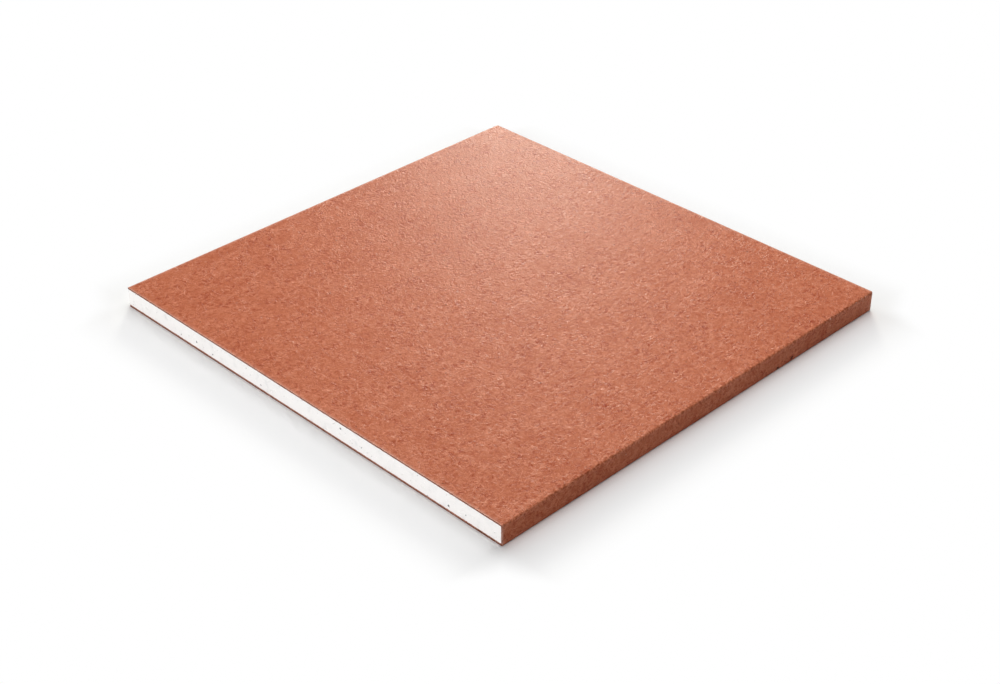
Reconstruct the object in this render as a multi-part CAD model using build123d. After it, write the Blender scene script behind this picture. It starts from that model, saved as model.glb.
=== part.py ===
"""Drywall sheet: a square of paper-faced gypsum board with one factory edge and three sawn edges.

X runs along the factory edge, Y from that edge to the sawn edge opposite, Z up through the board.
The origin is at the middle of the underside, and the board lies flat with its face up.
"""

import os

from build123d import *

# Driving dimensions of the board, in millimetres
board_length = 295.0
board_width = 300.0
board_thickness = 12.5

# The face paper covers the top, bends round the factory edge and folds in under the core
face_paper_thickness = 0.6
upper_fold_radius = 0.4
lower_fold_radius = 0.2
fold_under_width = 18.0

# The back paper laps over the folded-in face paper and stops short of the factory edge.
# The face paper lies flush with it there, and ramps up into the core to pass over it.
back_paper_thickness = 0.6
back_paper_setback = 5.0
lap_ramp_width = 1.5

# Places across the board's section, measured along Y
factory_edge = -board_width / 2
sawn_edge = board_width / 2
core_edge = factory_edge + face_paper_thickness
back_paper_edge = factory_edge + back_paper_setback
lap_ramp_start = back_paper_edge - lap_ramp_width
fold_under_end = factory_edge + fold_under_width

# Heights through the board's section, measured along Z
flush_fold_top = face_paper_thickness
lapped_fold_top = back_paper_thickness + face_paper_thickness
core_top = board_thickness - face_paper_thickness


def filled(*corners):
    """The area inside straight lines from corner to corner."""
    return make_face(Polyline(*corners, close=True))


def round_factory_edge(section, lower_radius, upper_radius):
    """The section with its two corners at the factory edge rounded."""
    lower_corner = section.vertices().group_by(Axis.X)[0].sort_by(Axis.Y)[0]
    section = fillet(lower_corner, lower_radius)
    upper_corner = section.vertices().sort_by(Axis.Y)[-2:].sort_by(Axis.X)[0]
    return fillet(upper_corner, upper_radius)


def core_section():
    """The gypsum between the papers, with a stepped rebate underneath for the folded-in face paper."""
    outline = filled(
        (core_edge, flush_fold_top),
        (lap_ramp_start, flush_fold_top),
        (back_paper_edge, lapped_fold_top),
        (fold_under_end, lapped_fold_top),
        (fold_under_end, back_paper_thickness),
        (sawn_edge, back_paper_thickness),
        (sawn_edge, core_top),
        (core_edge, core_top),
    )
    return round_factory_edge(outline, lower_fold_radius, upper_fold_radius)


def face_paper_section():
    """One strip of paper: across the top, round the factory edge and in under the core."""
    wrapped = filled(
        (factory_edge, 0),
        (lap_ramp_start, 0),
        (back_paper_edge, back_paper_thickness),
        (sawn_edge, back_paper_thickness),
        (sawn_edge, board_thickness),
        (factory_edge, board_thickness),
    )
    outer_lower_radius = lower_fold_radius + face_paper_thickness
    outer_upper_radius = upper_fold_radius + face_paper_thickness
    return round_factory_edge(wrapped, outer_lower_radius, outer_upper_radius) - core_section()


def back_paper_section():
    """The flat paper on the underside."""
    return filled(
        (back_paper_edge, 0),
        (sawn_edge, 0),
        (sawn_edge, back_paper_thickness),
        (back_paper_edge, back_paper_thickness),
    )


def along_the_board(section):
    """The section run along the whole length, centred on the origin."""
    return extrude(Plane.YZ * section, amount=board_length / 2, both=True)


pieces = {
    "gypsum_core": along_the_board(core_section()),
    "face_paper": along_the_board(face_paper_section()),
    "back_paper": along_the_board(back_paper_section()),
}

os.makedirs("parts", exist_ok=True)
for node, piece in pieces.items():
    piece.label = node
    export_step(piece, f"parts/{node}.step")
    print(node, len(piece.solids()), "solid", round(piece.volume), "mm3", piece.bounding_box().size)
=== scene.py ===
"""Drywall sheet: the looks of a square of paper-faced gypsum board that lies flat, face up.

The file is laid out as an add-on: its sizes and colours are properties, each piece has an operator,
and a panel in the sidebar lists them. Run as a script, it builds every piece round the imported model.
All lengths are in metres, and all colours are linear.
"""

import math
import random

import bmesh
import bpy
from mathutils import Matrix, Vector, noise
from mathutils.geometry import delaunay_2d_cdt


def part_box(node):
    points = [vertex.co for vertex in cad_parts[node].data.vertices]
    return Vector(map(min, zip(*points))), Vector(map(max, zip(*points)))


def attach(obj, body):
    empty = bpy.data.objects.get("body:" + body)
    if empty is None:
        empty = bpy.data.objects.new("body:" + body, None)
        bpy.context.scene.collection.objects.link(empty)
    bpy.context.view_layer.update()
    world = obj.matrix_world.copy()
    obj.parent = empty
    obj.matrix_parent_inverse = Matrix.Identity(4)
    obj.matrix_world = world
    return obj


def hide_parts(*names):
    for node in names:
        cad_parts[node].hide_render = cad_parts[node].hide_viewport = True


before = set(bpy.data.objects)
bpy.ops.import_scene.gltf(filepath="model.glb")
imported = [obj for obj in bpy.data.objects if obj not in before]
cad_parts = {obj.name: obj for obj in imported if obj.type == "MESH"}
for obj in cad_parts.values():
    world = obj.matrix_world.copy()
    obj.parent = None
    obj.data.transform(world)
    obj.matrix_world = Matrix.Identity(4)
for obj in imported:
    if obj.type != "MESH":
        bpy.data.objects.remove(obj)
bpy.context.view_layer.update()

bl_info = {
    "name": "Drywall sheet",
    "version": (1, 0, 0),
    "blender": (4, 5, 0),
    "location": "3D View > Sidebar > Drywall",
    "description": "Builds a paper-faced gypsum board with a wrapped factory edge and sawn edges",
    "category": "Add Mesh",
}

MILLIMETRE = 0.001
BODY = "root"
# One seed for each set of random draws, so that every run gives the same board
SEEDS = {
    "near_end": 11,
    "far_end": 12,
    "side": 13,
    "fibres": 5,
    "specks": 23,
    "speck_lumps": 29,
    "grains": 31,
    "grain_lumps": 47,
}

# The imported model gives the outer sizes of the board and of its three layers
CORE_LOW, CORE_HIGH = (Vector(corner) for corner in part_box("gypsum_core"))
FACE_LOW, FACE_HIGH = (Vector(corner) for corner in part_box("face_paper"))
BACK_LOW, BACK_HIGH = (Vector(corner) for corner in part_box("back_paper"))

END_X = FACE_HIGH.x
FACTORY_EDGE = FACE_LOW.y
SAWN_EDGE = FACE_HIGH.y
BOARD_TOP = FACE_HIGH.z
FACE_THICKNESS = FACE_HIGH.z - CORE_HIGH.z
BACK_THICKNESS = BACK_HIGH.z - BACK_LOW.z
FOLD_BOTTOM = FACE_LOW.z
BACK_SETBACK = BACK_LOW.y - FACTORY_EDGE
BOARD_LENGTH = 2 * END_X
BOARD_WIDTH = SAWN_EDGE - FACTORY_EDGE


def length_property(name, description, millimetres):
    """A length that the user can set, given here in millimetres."""
    return bpy.props.FloatProperty(
        name=name,
        description=description,
        default=millimetres * MILLIMETRE,
        min=0.0,
        precision=5,
        subtype="DISTANCE",
        unit="LENGTH",
    )


def count_property(name, description, default):
    """A whole number of small things."""
    return bpy.props.IntProperty(name=name, description=description, default=default, min=0)


def colour_property(name, description, default):
    """A linear colour that the user can set."""
    return bpy.props.FloatVectorProperty(
        name=name,
        description=description,
        default=default,
        size=3,
        min=0.0,
        max=1.0,
        subtype="COLOR",
    )


class DRYWALL_PG_sizes(bpy.types.PropertyGroup):
    """Sizes of the board's finer features."""

    fold_under: length_property("Fold under", "Width of the face paper folded in under the core", 18.0)
    upper_fold: length_property("Upper fold", "Outer radius of the fold along the face", 1.0)
    lower_fold: length_property("Lower fold", "Outer radius of the fold along the underside", 0.65)
    lap_bend: length_property("Lap bend", "Radius of the step that takes the fold over the back paper", 1.2)
    sheet_step: length_property("Sheet step", "Spacing of the papers' mesh", 1.25)
    cockle: length_property("Cockle", "Depth of the papers' gentle waves", 0.05)
    fray: length_property("Fray", "How far a cut paper edge wanders inwards", 0.1)
    fold_dent: length_property("Fold dents", "Depth of the knocks along the upper fold", 0.14)
    core_recess: length_property("Core recess", "How far the sawn gypsum lies behind the paper's edge", 0.15)
    core_step: length_property("Core step", "Spacing of the core's mesh where the papers hide it", 10.0)
    saw_depth: length_property("Saw marks", "Depth of the roughness on the sawn gypsum", 0.06)
    pit_count: count_property("Pits", "Air pits on each sawn face", 260)
    smallest_pit: length_property("Smallest pit", "Radius of the smallest air pits", 0.12)
    largest_pit: length_property("Largest pit", "Radius of the largest air pits", 0.5)
    grain_count: count_property("Grains", "Small grey grains on each sawn face", 34)
    fibre_count: count_property("Fibres", "Loose fibres on the face paper", 2200)
    fibre_length: length_property("Fibre length", "Length of a middling loose fibre", 3.2)
    fibre_width: length_property("Fibre width", "Width of a middling loose fibre", 0.15)
    hair_count: count_property("Hairs", "Long pale fibres on the face paper", 60)
    hair_length: length_property("Hair length", "Length of a middling long fibre", 10.0)
    speck_count: count_property("Specks", "Small specks of bark strewn over the face paper", 110)


class DRYWALL_PG_colours(bpy.types.PropertyGroup):
    """Colours of the papers and the gypsum."""

    face_paper: colour_property("Face paper", "Rust-red liner on the face", (0.530, 0.147, 0.067))
    back_paper: colour_property("Back paper", "Liner on the underside", (0.400, 0.125, 0.078))
    pale_fibre: colour_property("Pale fibre", "Fibres that took little dye", (0.780, 0.300, 0.180))
    dark_fibre: colour_property("Dark fibre", "Fibres that took most dye", (0.300, 0.024, 0.003))
    cut_paper: colour_property("Cut paper", "The raw edge of a cut paper", (0.140, 0.030, 0.010))
    # Worn paper also paints the pale highlight along the arrises of the cut edges
    worn_paper_and_highlight: colour_property("Worn paper", "Paper rubbed pale along its edges", (0.800, 0.500, 0.400))
    bark: colour_property("Bark", "Dark specks in the pulp", (0.036, 0.011, 0.005))
    # Stained gypsum also paints shade on the gypsum along the papers' cut edges
    stained_and_shaded_gypsum: colour_property("Stained gypsum", "Gypsum smeared with pulp", (0.300, 0.085, 0.045))
    gypsum: colour_property("Gypsum", "Sawn gypsum", (0.905, 0.884, 0.869))
    gypsum_shade: colour_property("Gypsum shade", "Damp or dusty marks on the gypsum", (0.720, 0.715, 0.705))
    grain: colour_property("Grain", "Dark grains in the gypsum", (0.060, 0.058, 0.062))
    floor: colour_property("Floor", "Studio floor", (0.960, 0.960, 0.960))


# Nodes

def add_node(tree, kind, **settings):
    """A new node with some of its settings changed."""
    node = tree.nodes.new(kind)
    for name, value in settings.items():
        setattr(node, name, value)
    return node


def feed(tree, socket, source):
    """Links an input to another node's output, or gives it a plain value."""
    if isinstance(source, bpy.types.NodeSocket):
        tree.links.new(source, socket)
    else:
        socket.default_value = source


def maths(tree, operation, *sources):
    """The result of one sum on plain numbers."""
    node = add_node(tree, "ShaderNodeMath", operation=operation)
    for socket, source in zip(node.inputs, sources):
        feed(tree, socket, source)
    return node.outputs["Value"]


def vector_maths(tree, operation, *sources):
    """The result of one sum on vectors."""
    node = add_node(tree, "ShaderNodeVectorMath", operation=operation)
    for socket, source in zip(node.inputs, sources):
        feed(tree, socket, source)
    return node.outputs["Vector"]


def scaled_vector(tree, vector, factor):
    """A vector made longer or shorter."""
    node = add_node(tree, "ShaderNodeVectorMath", operation="SCALE")
    feed(tree, node.inputs["Vector"], vector)
    feed(tree, node.inputs["Scale"], factor)
    return node.outputs["Vector"]


def fade(tree, value, start, end):
    """A smooth step from 0 where the value is at start to 1 where it is at end."""
    node = add_node(tree, "ShaderNodeMapRange", interpolation_type="SMOOTHSTEP")
    feed(tree, node.inputs["Value"], value)
    feed(tree, node.inputs["From Min"], start)
    feed(tree, node.inputs["From Max"], end)
    return node.outputs["Result"]


def spread(tree, value, low, high):
    """A value from 0 to 1 stretched evenly to run from low to high."""
    node = add_node(tree, "ShaderNodeMapRange")
    feed(tree, node.inputs["Value"], value)
    feed(tree, node.inputs["To Min"], low)
    feed(tree, node.inputs["To Max"], high)
    return node.outputs["Result"]


def cloud(tree, place, size, detail=2.0, roughness=0.55, flat=False):
    """Soft random patches of about the given size, in metres. Flat ones ignore the third direction."""
    node = add_node(tree, "ShaderNodeTexNoise", noise_dimensions="2D" if flat else "3D")
    feed(tree, node.inputs["Vector"], place)
    node.inputs["Scale"].default_value = 1.0 / size
    node.inputs["Detail"].default_value = detail
    node.inputs["Roughness"].default_value = roughness
    return node.outputs


# Where a Mix node keeps its two colours and their blend
FIRST_COLOUR = 6
SECOND_COLOUR = 7
BLENDED_COLOUR = 2


def opaque(colour):
    """A colour property as the four numbers that a socket takes."""
    return (*colour, 1.0)


def mix_colour(tree, share, first, second):
    """Two colours, each a node's output or a colour property, blended by a share from 0 to 1."""
    node = add_node(tree, "ShaderNodeMix", data_type="RGBA")
    feed(tree, node.inputs["Factor"], share)
    for index, source in ((FIRST_COLOUR, first), (SECOND_COLOUR, second)):
        linked = isinstance(source, bpy.types.NodeSocket)
        feed(tree, node.inputs[index], source if linked else opaque(source))
    return node.outputs[BLENDED_COLOUR]


def attribute(tree, name):
    """Outputs of a value that the mesh carries on its points."""
    return add_node(tree, "ShaderNodeAttribute", attribute_name=name).outputs


def object_place(tree):
    """The place on a piece, in metres from its origin."""
    return add_node(tree, "ShaderNodeTexCoord").outputs["Object"]


def split(tree, vector):
    """The three parts of a vector."""
    node = add_node(tree, "ShaderNodeSeparateXYZ")
    feed(tree, node.inputs["Vector"], vector)
    return node.outputs


def swing(tree, value, reach):
    """A value from 0 to 1 stretched evenly to run as far below 0 as above it."""
    return spread(tree, value, -reach, reach)


def wandering(tree, place, size, reach):
    """A place moved about at random, in swirls of the given size and by half of the reach at most."""
    swirl = cloud(tree, place, size, 0.0, flat=True)["Color"]
    swirl = vector_maths(tree, "SUBTRACT", swirl, (0.5, 0.5, 0.5))
    return vector_maths(tree, "ADD", place, scaled_vector(tree, swirl, reach))


def random_net(tree, place, cell, shift):
    """A net of random cells: the place counted in cells, the net's outputs and a draw for each cell."""
    per_cell = maths(tree, "DIVIDE", 1.0, cell)
    place = vector_maths(tree, "ADD", scaled_vector(tree, place, per_cell), shift)
    net = add_node(tree, "ShaderNodeTexVoronoi", voronoi_dimensions="2D", feature="F1")
    feed(tree, net.inputs["Vector"], place)
    net.inputs["Scale"].default_value = 1.0
    draw = add_node(tree, "ShaderNodeSeparateColor")
    feed(tree, draw.inputs["Color"], net.outputs["Color"])
    return place, net.outputs, draw.outputs


def new_group(name, inputs, outputs):
    """An empty node group with its sockets, and its inner ends."""
    group = bpy.data.node_groups.new(name, "ShaderNodeTree")
    for socket_name, kind in inputs:
        group.interface.new_socket(socket_name, in_out="INPUT", socket_type=kind)
    for socket_name, kind in outputs:
        group.interface.new_socket(socket_name, in_out="OUTPUT", socket_type=kind)
    entry = add_node(group, "NodeGroupInput")
    result = add_node(group, "NodeGroupOutput")
    return group, entry.outputs, result.inputs


def place_group(tree, group, **values):
    """A group put into a tree, with its inputs named by their sockets."""
    node = add_node(tree, "ShaderNodeGroup", node_tree=group)
    for name, source in values.items():
        feed(tree, node.inputs[name.replace("_", " ").capitalize()], source)
    return node.outputs


# Groups

NUMBER = "NodeSocketFloat"
VECTOR = "NodeSocketVector"
QUARTER_TURN = math.pi / 2


def leaning(tree, share):
    """An angle up to a quarter turn either way, more often small: fibres lean along a paper's length."""
    narrowed = maths(tree, "MULTIPLY_ADD", maths(tree, "ABSOLUTE", share), 0.5, 0.5)
    return maths(tree, "MULTIPLY", maths(tree, "MULTIPLY", share, narrowed), QUARTER_TURN)


# Where a fibre ends and where its fading starts, in cells from its middle
FIBRE_END = 0.55
FIBRE_FADE = 0.3
# The part of a fibre's half width that is solid
FIBRE_SOLID = 0.3


def fibre_layer_group():
    """One short fibre in each cell of a random net, turned at random."""
    group, entry, result = new_group(
        "Fibre layer",
        (("Place", VECTOR), ("Cell", NUMBER), ("Width", NUMBER), ("Shift", VECTOR)),
        (("Fibre", NUMBER), ("Tone", NUMBER)),
    )
    place, net, draw = random_net(group, entry["Place"], entry["Cell"], entry["Shift"])
    turn = add_node(group, "ShaderNodeVectorRotate", rotation_type="Z_AXIS")
    feed(group, turn.inputs["Vector"], vector_maths(group, "SUBTRACT", place, net["Position"]))
    feed(group, turn.inputs["Angle"], leaning(group, swing(group, draw["Red"], 1.0)))
    parts = split(group, turn.outputs["Vector"])
    along = fade(group, maths(group, "ABSOLUTE", parts["X"]), FIBRE_END, FIBRE_FADE)
    solid = maths(group, "MULTIPLY", entry["Width"], FIBRE_SOLID)
    across = fade(group, maths(group, "ABSOLUTE", parts["Y"]), entry["Width"], solid)
    feed(group, result["Fibre"], maths(group, "MULTIPLY", along, across))
    feed(group, result["Tone"], swing(group, draw["Green"], 1.0))
    return group


# Cell in millimetres, half width as a share of the cell, strength in the tone, strength in the relief
FIBRE_LAYERS = (
    (1.3, 0.10, 2.0, 0.6),
    (1.7, 0.085, 2.4, 0.7),
    (2.2, 0.07, 2.7, 0.8),
    (2.9, 0.055, 2.9, 0.9),
    (3.8, 0.045, 2.9, 1.0),
    (5.0, 0.035, 2.6, 1.0),
    (6.5, 0.028, 2.2, 1.0),
)
# How far each layer's net is shifted from the one before, in cells
LAYER_SHIFT = (17.3, 41.9, 0.0)

# How far the clouds in the pulp swing a paper's tone, how far blotches darken it, and how much
# paler it is all over
FINE_SWING = 2.2
PATCH_SWING = 0.5
MOTTLE_SWING = 2.1
BLOTCH_DEPTH = 1.4
PALER = 0.25
# Height of the fine clouds and of the dents between the fibres, where the tallest fibre is 1
FINE_HEIGHT = 0.7
DENT_SWING = 3.3
# How much of the tone and the dents shows where the pulp lies close, and where it lies loose
CLOSE_PULP = 0.25
LOOSE_PULP = 1.75


def pulp_tone(group, place, curled, fine):
    """The tone that clouds in the pulp give a paper."""
    patches = cloud(group, place, 26 * MILLIMETRE, 0.0, flat=True)["Fac"]
    blotches = cloud(group, curled, 2.3 * MILLIMETRE, 1.0, 0.6, flat=True)["Fac"]
    mottle = cloud(group, curled, 5 * MILLIMETRE, 1.0, 1.0, flat=True)["Fac"]
    tone = maths(group, "ADD", swing(group, fine, FINE_SWING), swing(group, patches, PATCH_SWING))
    tone = maths(group, "ADD", tone, swing(group, mottle, MOTTLE_SWING))
    tone = maths(group, "MULTIPLY_ADD", fade(group, blotches, 0.48, 0.25), -BLOTCH_DEPTH, tone)
    return maths(group, "ADD", tone, PALER)


def lay_fibres(group, fibre_layer, curled, tone, ridges):
    """A tone and a relief with each layer of fibres laid over them."""
    for index, (cell, width, strength, height) in enumerate(FIBRE_LAYERS):
        layer = place_group(
            group,
            fibre_layer,
            place=curled,
            cell=cell * MILLIMETRE,
            width=width,
            shift=tuple(index * step for step in LAYER_SHIFT),
        )
        signed = maths(group, "MULTIPLY", layer["Fibre"], layer["Tone"])
        tone = maths(group, "MULTIPLY_ADD", signed, strength, tone)
        ridges = maths(group, "MAXIMUM", ridges, maths(group, "MULTIPLY", layer["Fibre"], height))
    return tone, ridges


def felt_group(fibre_layer):
    """Pressed fibres of many lengths, pale and dark, with the clouds that wet pulp leaves in a paper.

    Tone is 0 for the middle colour, above 0 for paler pulp and below 0 for darker.
    """
    group, entry, result = new_group(
        "Felted fibres",
        (("Place", VECTOR),),
        (("Tone", NUMBER), ("Fine", NUMBER), ("Relief", NUMBER)),
    )
    curled = wandering(group, entry["Place"], 2.6 * MILLIMETRE, 1.6 * MILLIMETRE)
    fine = cloud(group, curled, 1.2 * MILLIMETRE, 2.0, 0.8, flat=True)["Fac"]
    dents = cloud(group, curled, 1.6 * MILLIMETRE, 2.0, 0.6, flat=True)["Fac"]
    looseness = cloud(group, entry["Place"], 11 * MILLIMETRE, 1.0, 0.5, flat=True)["Fac"]
    looseness = spread(group, looseness, CLOSE_PULP, LOOSE_PULP)
    tone = pulp_tone(group, entry["Place"], curled, fine)
    ridges = maths(group, "MULTIPLY", fine, FINE_HEIGHT)
    tone, ridges = lay_fibres(group, fibre_layer, curled, tone, ridges)
    dents = maths(group, "MULTIPLY", swing(group, dents, DENT_SWING), looseness)
    feed(group, result["Tone"], maths(group, "MULTIPLY", tone, looseness))
    feed(group, result["Fine"], fine)
    feed(group, result["Relief"], maths(group, "ADD", dents, ridges))
    return group


# A cell has a speck only where its draw is above this
SPECK_DRAW = 0.45
# The part of a speck's radius that is solid
SPECK_SOLID = 0.6


def speck_group():
    """Scattered ragged specks: one in some of the cells of a random net."""
    group, entry, result = new_group(
        "Specks",
        (("Place", VECTOR), ("Cell", NUMBER), ("Radius", NUMBER), ("Shift", VECTOR)),
        (("Speck", NUMBER),),
    )
    ragged = wandering(group, entry["Place"], 0.9 * MILLIMETRE, 1.2 * MILLIMETRE)
    _, net, draw = random_net(group, ragged, entry["Cell"], entry["Shift"])
    reach = maths(group, "DIVIDE", entry["Radius"], entry["Cell"])
    reach = maths(group, "MULTIPLY", reach, fade(group, draw["Blue"], SPECK_DRAW, 1.0))
    solid = maths(group, "MULTIPLY", reach, SPECK_SOLID)
    feed(group, result["Speck"], fade(group, net["Distance"], reach, solid))
    return group


# How much a paper's colour changes at most where it is scuffed pale along a cut, which also paints a
# highlight on the cut's arris, and where it is rubbed and chipped along a fold
SCUFF_AND_HIGHLIGHT_SHARE = 0.9
RUBBED_SHARE = 0.4
CHIPPED_SHARE = 0.55


def wear_and_highlight_group():
    """Where a paper is worn: scuffed pale along a cut, which also paints a highlight on the cut's arris, and
    rubbed dark or chipped pale along a fold.
    """
    group, entry, result = new_group(
        "Paper wear",
        (("Place", VECTOR), ("Fine", NUMBER), ("Near cut", NUMBER), ("Near fold", NUMBER)),
        (("Scuff and highlight", NUMBER), ("Rubbed", NUMBER), ("Chipped", NUMBER)),
    )
    knocks = cloud(group, entry["Place"], 1.7 * MILLIMETRE, 2.0, 0.7, flat=True)["Fac"]
    # The scuff along a cut is partly wear and partly a painted highlight on the cut's arris
    amounts = {
        "Scuff and highlight": (entry["Near cut"], fade(group, entry["Fine"], 0.2, 0.5), SCUFF_AND_HIGHLIGHT_SHARE),
        "Rubbed": (entry["Near fold"], fade(group, knocks, 0.46, 0.36), RUBBED_SHARE),
        "Chipped": (entry["Near fold"], fade(group, knocks, 0.48, 0.66), CHIPPED_SHARE),
    }
    for name, (near, patchy, share) in amounts.items():
        worn = maths(group, "MULTIPLY", maths(group, "MULTIPLY", near, patchy), share)
        feed(group, result[name], worn)
    return group


def shared_groups():
    """The node groups that several materials share, built once."""
    names = {"felt": "Felted fibres", "specks": "Specks", "wear_and_highlight": "Paper wear"}
    if names["felt"] not in bpy.data.node_groups:
        felt_group(fibre_layer_group())
        speck_group()
        wear_and_highlight_group()
    return {key: bpy.data.node_groups[name] for key, name in names.items()}


# Materials

def new_material(name):
    """A material with only a Principled shader, and its tree."""
    material = bpy.data.materials.new(name)
    material.use_nodes = True
    tree = material.node_tree
    return material, tree, tree.nodes["Principled BSDF"]


# Specular level of each finish, and the depth of its bumps
FINISHES = {
    "paper": (0.031, 0.036 * MILLIMETRE),
    "cut paper": (0.2, 0.03 * MILLIMETRE),
    "gypsum": (0.25, 0.08 * MILLIMETRE),
    "lump": (0.1, 0.05 * MILLIMETRE),
}


def finish_shader(tree, shader, finish, base, roughness, height):
    """Gives a shader its colour and roughness, and a finish's plain specular level and bumps."""
    specular, depth = FINISHES[finish]
    feed(tree, shader.inputs["Base Color"], base)
    feed(tree, shader.inputs["Roughness"], roughness)
    shader.inputs["Specular IOR Level"].default_value = specular
    bumps = add_node(tree, "ShaderNodeBump")
    bumps.inputs["Distance"].default_value = depth
    feed(tree, bumps.inputs["Height"], height)
    feed(tree, shader.inputs["Normal"], bumps.outputs["Normal"])


# How strongly a paper's tone shows in its colour
TONE_STRENGTH = 0.24
# Roughness of a paper where its tone is this far below the middle, and this far above it
TONE_REACH = 2.0
DARK_ROUGHNESS = 0.31
PALE_ROUGHNESS = 0.27
# Specks in a paper's pulp: cells of their net, largest radius, shift of the net and strength
SPECK_CELL = 9 * MILLIMETRE
SPECK_RADIUS = 0.5 * MILLIMETRE
SPECK_SHIFT = (3.0, 8.0, 0.0)
SPECK_STRENGTH = 0.6


def tint(tree, base, tone, colours):
    """A colour shifted to the pale fibres' where the tone is high, and to the dark ones' where it is low."""
    pale = maths(tree, "MULTIPLY", maths(tree, "MAXIMUM", tone, 0.0), TONE_STRENGTH)
    dark = maths(tree, "MULTIPLY", maths(tree, "MINIMUM", tone, 0.0), -TONE_STRENGTH)
    base = mix_colour(tree, pale, base, colours.pale_fibre)
    return mix_colour(tree, dark, base, colours.dark_fibre)


def sheen(tree, tone):
    """Roughness of a paper: pale fibres lie smooth on top, and the dark hollows between them are dull."""
    node = add_node(tree, "ShaderNodeMapRange")
    feed(tree, node.inputs["Value"], tone)
    node.inputs["From Min"].default_value = -TONE_REACH
    node.inputs["From Max"].default_value = TONE_REACH
    node.inputs["To Min"].default_value = DARK_ROUGHNESS
    node.inputs["To Max"].default_value = PALE_ROUGHNESS
    return node.outputs["Result"]


def add_wear_and_highlight(tree, base, wear_and_highlight, colours):
    """A paper's colour with its pale scuffs along the cuts, which also paint a highlight on their arrises,
    and its rubbed and chipped places.
    """
    # Pale scuffs along the cuts: partly wear, partly a painted highlight on the cut arris
    base = mix_colour(tree, wear_and_highlight["Scuff and highlight"], base, colours.worn_paper_and_highlight)
    base = mix_colour(tree, wear_and_highlight["Rubbed"], base, colours.cut_paper)
    return mix_colour(tree, wear_and_highlight["Chipped"], base, colours.pale_fibre)


def paper_material(name, colour, colours, groups):
    """Dyed liner: felted pale and dark fibres, clouds, specks, worn edges and a highlight painted along its
    cut edges.
    """
    material, tree, shader = new_material(name)
    place = attribute(tree, "sheet_place")["Vector"]
    felt = place_group(tree, groups["felt"], place=place)
    specks = place_group(
        tree,
        groups["specks"],
        place=place,
        cell=SPECK_CELL,
        radius=SPECK_RADIUS,
        shift=SPECK_SHIFT,
    )
    wear_and_highlight = place_group(
        tree,
        groups["wear_and_highlight"],
        place=place,
        fine=felt["Fine"],
        near_cut=attribute(tree, "near_cut")["Fac"],
        near_fold=attribute(tree, "near_fold")["Fac"],
    )
    base = tint(tree, colour, felt["Tone"], colours)
    base = mix_colour(tree, maths(tree, "MULTIPLY", specks["Speck"], SPECK_STRENGTH), base, colours.bark)
    base = add_wear_and_highlight(tree, base, wear_and_highlight, colours)
    finish_shader(tree, shader, "paper", base, sheen(tree, felt["Tone"]), felt["Relief"])
    return material


def cut_paper_material(colours, groups):
    """The raw cut through a paper: brown pulp in thin layers."""
    material, tree, shader = new_material("cut_paper")
    felt = place_group(tree, groups["felt"], place=attribute(tree, "sheet_place")["Vector"])
    ragged = maths(tree, "MULTIPLY", fade(tree, felt["Tone"], 0.2, 2.2), 0.4)
    base = mix_colour(tree, ragged, colours.cut_paper, colours.worn_paper_and_highlight)
    sooty = maths(tree, "MULTIPLY", fade(tree, felt["Tone"], -0.2, -2.0), 0.7)
    base = mix_colour(tree, sooty, base, colours.bark)
    roughness = spread(tree, felt["Fine"], 0.7, 0.9)
    finish_shader(tree, shader, "cut paper", base, roughness, felt["Relief"])
    return material


def fibre_material(colours):
    """Single fibres, from undyed to deep red, each of one tone."""
    material, tree, shader = new_material("loose_fibre")
    tone = attribute(tree, "tone")["Fac"]
    base = mix_colour(tree, tone, colours.dark_fibre, colours.pale_fibre)
    feed(tree, shader.inputs["Base Color"], base)
    feed(tree, shader.inputs["Roughness"], spread(tree, tone, 0.75, 0.55))
    return material


# How far the saw drags pulp from a paper over the gypsum; the band is partly this stain and partly painted
# shade along the papers' edges
STAIN_AND_SHADE_REACH = 0.48 * MILLIMETRE
# The part of the distance from the face paper and from the back paper that counts for the stain and painted
# shade
FACE_STAIN_AND_SHADE_SHARE = 0.85
BACK_STAIN_AND_SHADE_SHARE = 0.58


def beside_paper(tree, place):
    """1 on the gypsum next to a paper, and 0 further away than the saw drags pulp: a band of pulp stain that
    also paints shade along the papers' edges.
    """
    parts = split(tree, place)
    below_face = maths(tree, "SUBTRACT", CORE_HIGH.z, parts["Z"])
    below_face = maths(tree, "MULTIPLY", below_face, FACE_STAIN_AND_SHADE_SHARE)
    above_back = maths(tree, "SUBTRACT", parts["Z"], CORE_LOW.z)
    above_back = maths(tree, "MULTIPLY", above_back, BACK_STAIN_AND_SHADE_SHARE)
    behind_edge = maths(tree, "SUBTRACT", parts["Y"], CORE_LOW.y)
    gap = maths(tree, "MINIMUM", maths(tree, "MINIMUM", below_face, above_back), behind_edge)
    ragged = cloud(tree, place, 1.1 * MILLIMETRE, 3.0, 0.7)["Fac"]
    reach = maths(tree, "MULTIPLY", ragged, 2 * STAIN_AND_SHADE_REACH)
    return fade(tree, gap, reach, maths(tree, "MULTIPLY", reach, 0.5))


def gypsum_material(colours):
    """Sawn gypsum: chalky white with faint grey streaks and fine pores, stained beside the papers, where the
    stain also paints shade.
    """
    material, tree, shader = new_material("gypsum")
    place = object_place(tree)
    patches = cloud(tree, place, 7 * MILLIMETRE, 5.0, 0.65)["Fac"]
    fine = cloud(tree, place, 0.7 * MILLIMETRE, 4.0, 0.7)["Fac"]
    base = mix_colour(tree, fade(tree, patches, 0.5, 0.85), colours.gypsum, colours.gypsum_shade)
    base = mix_colour(tree, fade(tree, fine, 0.58, 0.8), base, colours.gypsum_shade)
    # Pulp stain beside the papers, which also paints the shade along their cut edges
    base = mix_colour(tree, beside_paper(tree, place), base, colours.stained_and_shaded_gypsum)
    roughness = spread(tree, patches, 0.8, 0.95)
    finish_shader(tree, shader, "gypsum", base, roughness, fine)
    return material


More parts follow.
